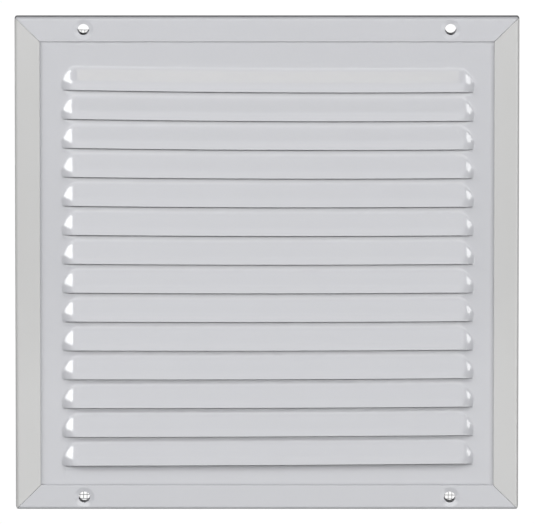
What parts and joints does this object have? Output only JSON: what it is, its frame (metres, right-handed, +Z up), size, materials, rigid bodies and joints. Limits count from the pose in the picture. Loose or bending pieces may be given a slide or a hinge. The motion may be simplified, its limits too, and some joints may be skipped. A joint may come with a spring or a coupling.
{
  "type": "louvred air grille",
  "caption": "Square white air grille: a pressed louvre sheet and an insect mesh held in a mitred channel frame with wall fixing holes.",
  "frame": {"origin": "centre of the four fixing holes on the rear wall plane", "axes": "+Z up, front facing -Y, +X to the right of a viewer who faces the front"},
  "size_m": [0.2, 0.0072, 0.2],
  "materials": {
    "panel_coat": "gloss white powder coat on aluminium sheet",
    "frame_coat": "gloss white powder coat on folded aluminium",
    "key_metal": "mill finish",
    "mesh_wire": "woven bare wire"
  },
  "bodies": {
    "root": {"louvre_panel": "panel_coat", "frame_top": "frame_coat", "frame_bottom": "frame_coat", "frame_left": "frame_coat", "frame_right": "frame_coat", "corner_key_top_left": "key_metal", "corner_key_top_right": "key_metal", "corner_key_bottom_left": "key_metal", "corner_key_bottom_right": "key_metal", "insect_mesh": "mesh_wire"}
  },
  "joints": []
}
